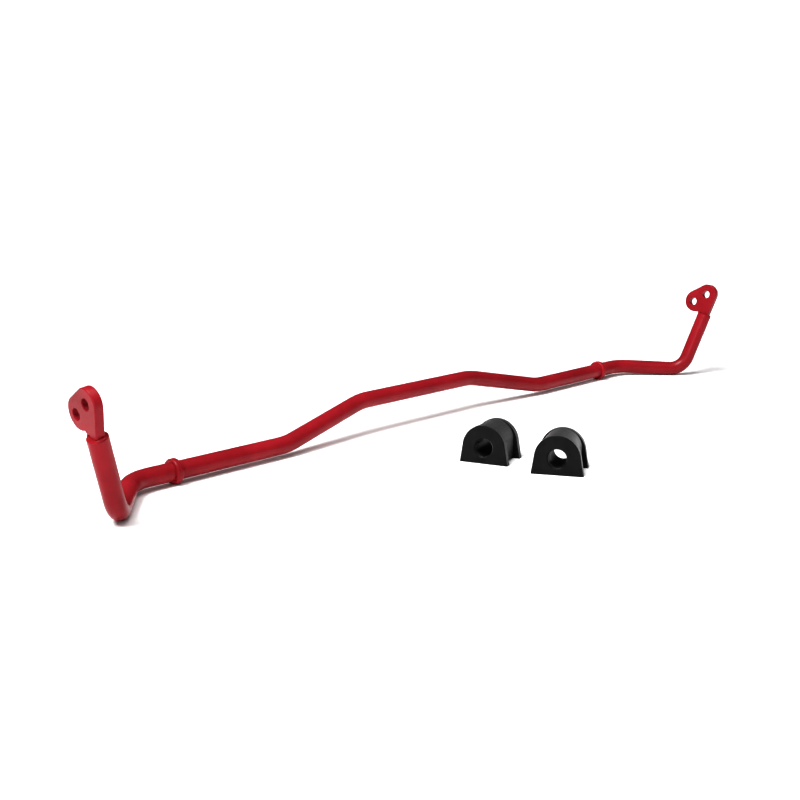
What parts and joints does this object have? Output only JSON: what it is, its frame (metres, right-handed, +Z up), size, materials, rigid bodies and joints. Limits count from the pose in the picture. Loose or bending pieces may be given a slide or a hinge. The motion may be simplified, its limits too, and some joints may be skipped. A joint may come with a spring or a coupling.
{
  "type": "sway bar",
  "caption": "Tubular sway bar with a raised middle, stop collars, welded two-hole end plates, and loose split D-bushings.",
  "frame": {"origin": "middle of the whole set's footprint, on the floor that the bar and bushings stand on", "axes": "+X along the bar to its right end, +Y from the arms' side to the bar's back, +Z up"},
  "size_m": [1.2038, 0.3546, 0.1515],
  "materials": {
    "powder_coat": "gloss",
    "coated_weld": "gloss",
    "bushing_urethane": "satin"
  },
  "bodies": {
    "bar": {"bar_tube": "powder_coat", "end_plate_left": "powder_coat", "end_plate_right": "powder_coat", "end_weld_left": "coated_weld", "end_weld_right": "coated_weld", "stop_collar_left": "powder_coat", "stop_collar_right": "powder_coat"},
    "left_bushing": {"bushing_left": "bushing_urethane"},
    "right_bushing": {"bushing_right": "bushing_urethane"}
  },
  "joints": [
    {"name": "bushing_left_lift", "type": "slide", "parent": "bar", "child": "left_bushing", "axis": [0, 0, 1], "range_m": [0, 0.12]},
    {"name": "bushing_right_lift", "type": "slide", "parent": "bar", "child": "right_bushing", "axis": [0, 0, 1], "range_m": [0, 0.12]}
  ]
}
